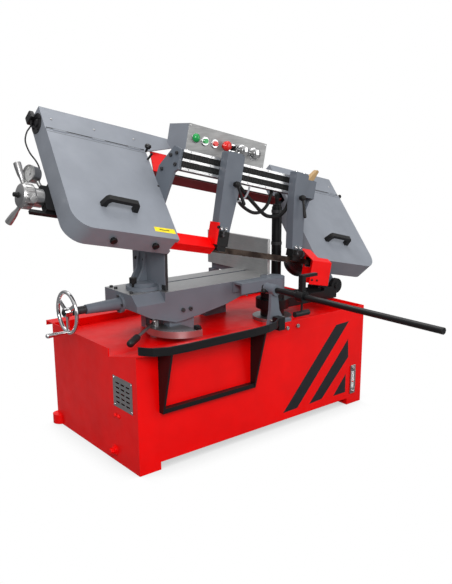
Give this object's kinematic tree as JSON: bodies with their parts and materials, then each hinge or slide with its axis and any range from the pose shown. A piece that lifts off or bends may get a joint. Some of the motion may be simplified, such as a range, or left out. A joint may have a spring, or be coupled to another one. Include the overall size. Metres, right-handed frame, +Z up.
{
  "type": "horizontal band saw",
  "caption": "Horizontal metal-cutting band saw with a canted swivelling bow, screw vise and length stop on a red cabinet base with coolant tray.",
  "frame": {"origin": "floor level, centre of the four anchor holes", "axes": "+X along the base towards the drive wheel, +Y to the back, away from the length stop, +Z up"},
  "size_m": [1.9946, 1.636, 1.4222],
  "materials": {
    "red_paint": "gloss",
    "grey_paint": "satin",
    "cover_paint": "satin",
    "black_paint": "semi gloss",
    "machined_iron": "ground",
    "bright_steel": "brushed",
    "chrome": "polished",
    "dark_iron": "as cast",
    "black_plastic": "matte",
    "green_plastic": "gloss",
    "red_plastic": "gloss",
    "bronze": "machined",
    "band_steel": "ground",
    "dark_red_paint": "gloss"
  },
  "bodies": {
    "base": {"cabinet": "red_paint", "anchor_feet": "red_paint", "coolant_tray": "red_paint", "shelf_frame": "black_paint", "vent_grille": "bright_steel", "vise_bed": "grey_paint", "scale_sector": "machined_iron", "sector_clamp": "black_paint", "fixed_jaw": "grey_paint", "fixed_jaw_plate": "bright_steel", "screw_sleeve": "grey_paint", "stop_bracket": "grey_paint", "stop_rod": "black_paint", "swivel_pin": "machined_iron"},
    "lock_lever": {"lock_lever": "bright_steel", "lock_grip": "black_plastic"},
    "vise_screw": {"vise_screw": "dark_iron", "handwheel": "chrome"},
    "crank_grip": {"crank_grip": "chrome"},
    "moving_jaw": {"moving_jaw": "grey_paint", "moving_jaw_plate": "dark_iron", "jaw_nut": "bronze"},
    "jaw_knob": {"jaw_knob": "black_plastic"},
    "stop_arm": {"stop_arm": "black_paint"},
    "stop_screw": {"stop_screw": "black_plastic"},
    "swivel": {"swivel_arm": "black_paint", "slot_plate": "grey_paint", "feed_cylinder": "black_paint"},
    "bow": {"bow_frame": "grey_paint", "beam_rails": "bright_steel", "left_casing": "cover_paint", "right_casing": "cover_paint", "blade": "band_steel", "tension_housing": "black_paint", "right_guide_arm": "grey_paint", "right_guide_block": "black_plastic", "right_blade_guard": "red_paint", "return_guard": "dark_red_paint", "gearbox": "dark_iron", "motor": "dark_iron", "control_box": "cover_paint"},
    "left_door": {"left_door": "cover_paint", "left_door_handle": "black_plastic"},
    "right_door": {"right_door": "cover_paint", "right_door_handle": "black_plastic"},
    "carriage": {"idler_carriage": "dark_iron"},
    "idler_wheel": {"idler_wheel": "dark_iron"},
    "drive_wheel": {"drive_wheel": "dark_iron"},
    "tension_handle": {"tension_handle": "chrome"},
    "left_arm": {"left_guide_arm": "grey_paint", "left_guide_block": "black_plastic", "left_blade_guard": "red_paint"},
    "left_arm_lever": {"left_arm_lever": "black_plastic"},
    "right_arm_lever": {"right_arm_lever": "black_plastic"},
    "start_button": {"start_button": "green_plastic"},
    "stop_button": {"stop_button": "red_plastic"},
    "emergency_stop": {"emergency_stop": "red_plastic"},
    "selector_knob": {"selector_knob": "black_plastic"},
    "feed_valve": {"feed_valve": "chrome"},
    "speed_valve": {"speed_valve": "chrome"}
  },
  "joints": [
    {"name": "bow_swivel", "type": "hinge", "parent": "base", "child": "swivel", "pos_m": [0.27, -0.109, 0.5], "axis": [0, 0, 1], "range_deg": [0, 30]},
    {"name": "bow_lift", "type": "hinge", "parent": "swivel", "child": "bow", "pos_m": [0.65902, -0.1087, 0.55998], "axis": [0, 1, 0], "range_deg": [-11.8, 25]},
    {"name": "guide_arm_slide", "type": "slide", "parent": "bow", "child": "left_arm", "axis": [0.9789, 0, -0.2045], "range_m": [-0.09, 0.17]},
    {"name": "idler_slide", "type": "slide", "parent": "bow", "child": "carriage", "axis": [0.9789, 0, -0.2045], "range_m": [0, 0.012]},
    {"name": "tension_turn", "type": "hinge", "parent": "bow", "child": "tension_handle", "pos_m": [-0.74975, 0.08929, 1.05533], "axis": [0.9789, 0, -0.2045], "range_deg": [0, 1440]},
    {"name": "idler_spin", "type": "hinge", "parent": "carriage", "child": "idler_wheel", "pos_m": [-0.50764, 0.03979, 1.05532], "axis": [0.1446, -0.7071, 0.6922], "continuous": true},
    {"name": "drive_spin", "type": "hinge", "parent": "bow", "child": "drive_wheel", "pos_m": [0.78446, 0.03979, 0.78539], "axis": [0.1446, -0.7071, 0.6922], "continuous": true},
    {"name": "left_door_hinge", "type": "hinge", "parent": "bow", "child": "left_door", "pos_m": [-0.45894, 0.20808, 1.28353], "axis": [-0.9789, 0, 0.2045], "range_deg": [0, 80]},
    {"name": "right_door_hinge", "type": "hinge", "parent": "bow", "child": "right_door", "pos_m": [0.82337, 0.20808, 1.01564], "axis": [-0.9789, 0, 0.2045], "range_deg": [0, 80]},
    {"name": "vise_screw_turn", "type": "hinge", "parent": "base", "child": "vise_screw", "pos_m": [-0.722, 0.0475, 0.599], "axis": [1, 0, 0], "range_deg": [0, 33600]},
    {"name": "jaw_slide", "type": "slide", "parent": "base", "child": "moving_jaw", "axis": [1, 0, 0], "range_m": [0, 0.56]},
    {"name": "crank_spin", "type": "hinge", "parent": "vise_screw", "child": "crank_grip", "pos_m": [-0.734, 0.0475, 0.515], "axis": [1, 0, 0], "continuous": true},
    {"name": "jaw_knob_turn", "type": "hinge", "parent": "moving_jaw", "child": "jaw_knob", "pos_m": [-0.415, 0.034, 0.69], "axis": [0, 0, 1], "range_deg": [0, 720]},
    {"name": "lock_lever_turn", "type": "hinge", "parent": "base", "child": "lock_lever", "pos_m": [-0.345, -0.02, 0.51], "axis": [0, 0, 1], "range_deg": [-12, 25]},
    {"name": "stop_arm_slide", "type": "slide", "parent": "base", "child": "stop_arm", "axis": [0, 1, 0], "range_m": [-0.65, 0.1]},
    {"name": "stop_screw_turn", "type": "hinge", "parent": "stop_arm", "child": "stop_screw", "pos_m": [0.062, -0.52, 0.6], "axis": [0, 0, 1], "range_deg": [0, 720]},
    {"name": "left_lever_turn", "type": "hinge", "parent": "left_arm", "child": "left_arm_lever", "pos_m": [0.02664, -0.1227, 1.0944], "axis": [0, 1, 0], "range_deg": [-40, 20]},
    {"name": "right_lever_turn", "type": "hinge", "parent": "bow", "child": "right_arm_lever", "pos_m": [0.43271, -0.1227, 1.01365], "axis": [0, 1, 0], "range_deg": [-40, 20]},
    {"name": "start_button_press", "type": "slide", "parent": "bow", "child": "start_button", "axis": [0, 1, 0], "range_m": [0, 0.004], "stiffness_N_per_m": 600, "springref_m": -0.002},
    {"name": "stop_button_press", "type": "slide", "parent": "bow", "child": "stop_button", "axis": [0, 1, 0], "range_m": [0, 0.004], "stiffness_N_per_m": 600, "springref_m": -0.002},
    {"name": "emergency_stop_press", "type": "slide", "parent": "bow", "child": "emergency_stop", "axis": [0, 1, 0], "range_m": [0, 0.005]},
    {"name": "selector_turn", "type": "hinge", "parent": "bow", "child": "selector_knob", "pos_m": [0.1015, -0.0187, 1.24732], "axis": [0, 1, 0], "range_deg": [-45, 45]},
    {"name": "feed_valve_turn", "type": "hinge", "parent": "bow", "child": "feed_valve", "pos_m": [0.15925, -0.0187, 1.23525], "axis": [0, 1, 0], "range_deg": [0, 270]},
    {"name": "speed_valve_turn", "type": "hinge", "parent": "bow", "child": "speed_valve", "pos_m": [0.22875, -0.0187, 1.22074], "axis": [0, 1, 0], "range_deg": [0, 270]}
  ],
  "couplings": [
    {"joint": "jaw_slide", "follows": "vise_screw_turn", "m_per_rad": 0.00095493},
    {"joint": "idler_slide", "follows": "tension_turn", "m_per_rad": 0.00047746},
    {"joint": "idler_spin", "follows": "drive_spin", "ratio": 1}
  ]
}
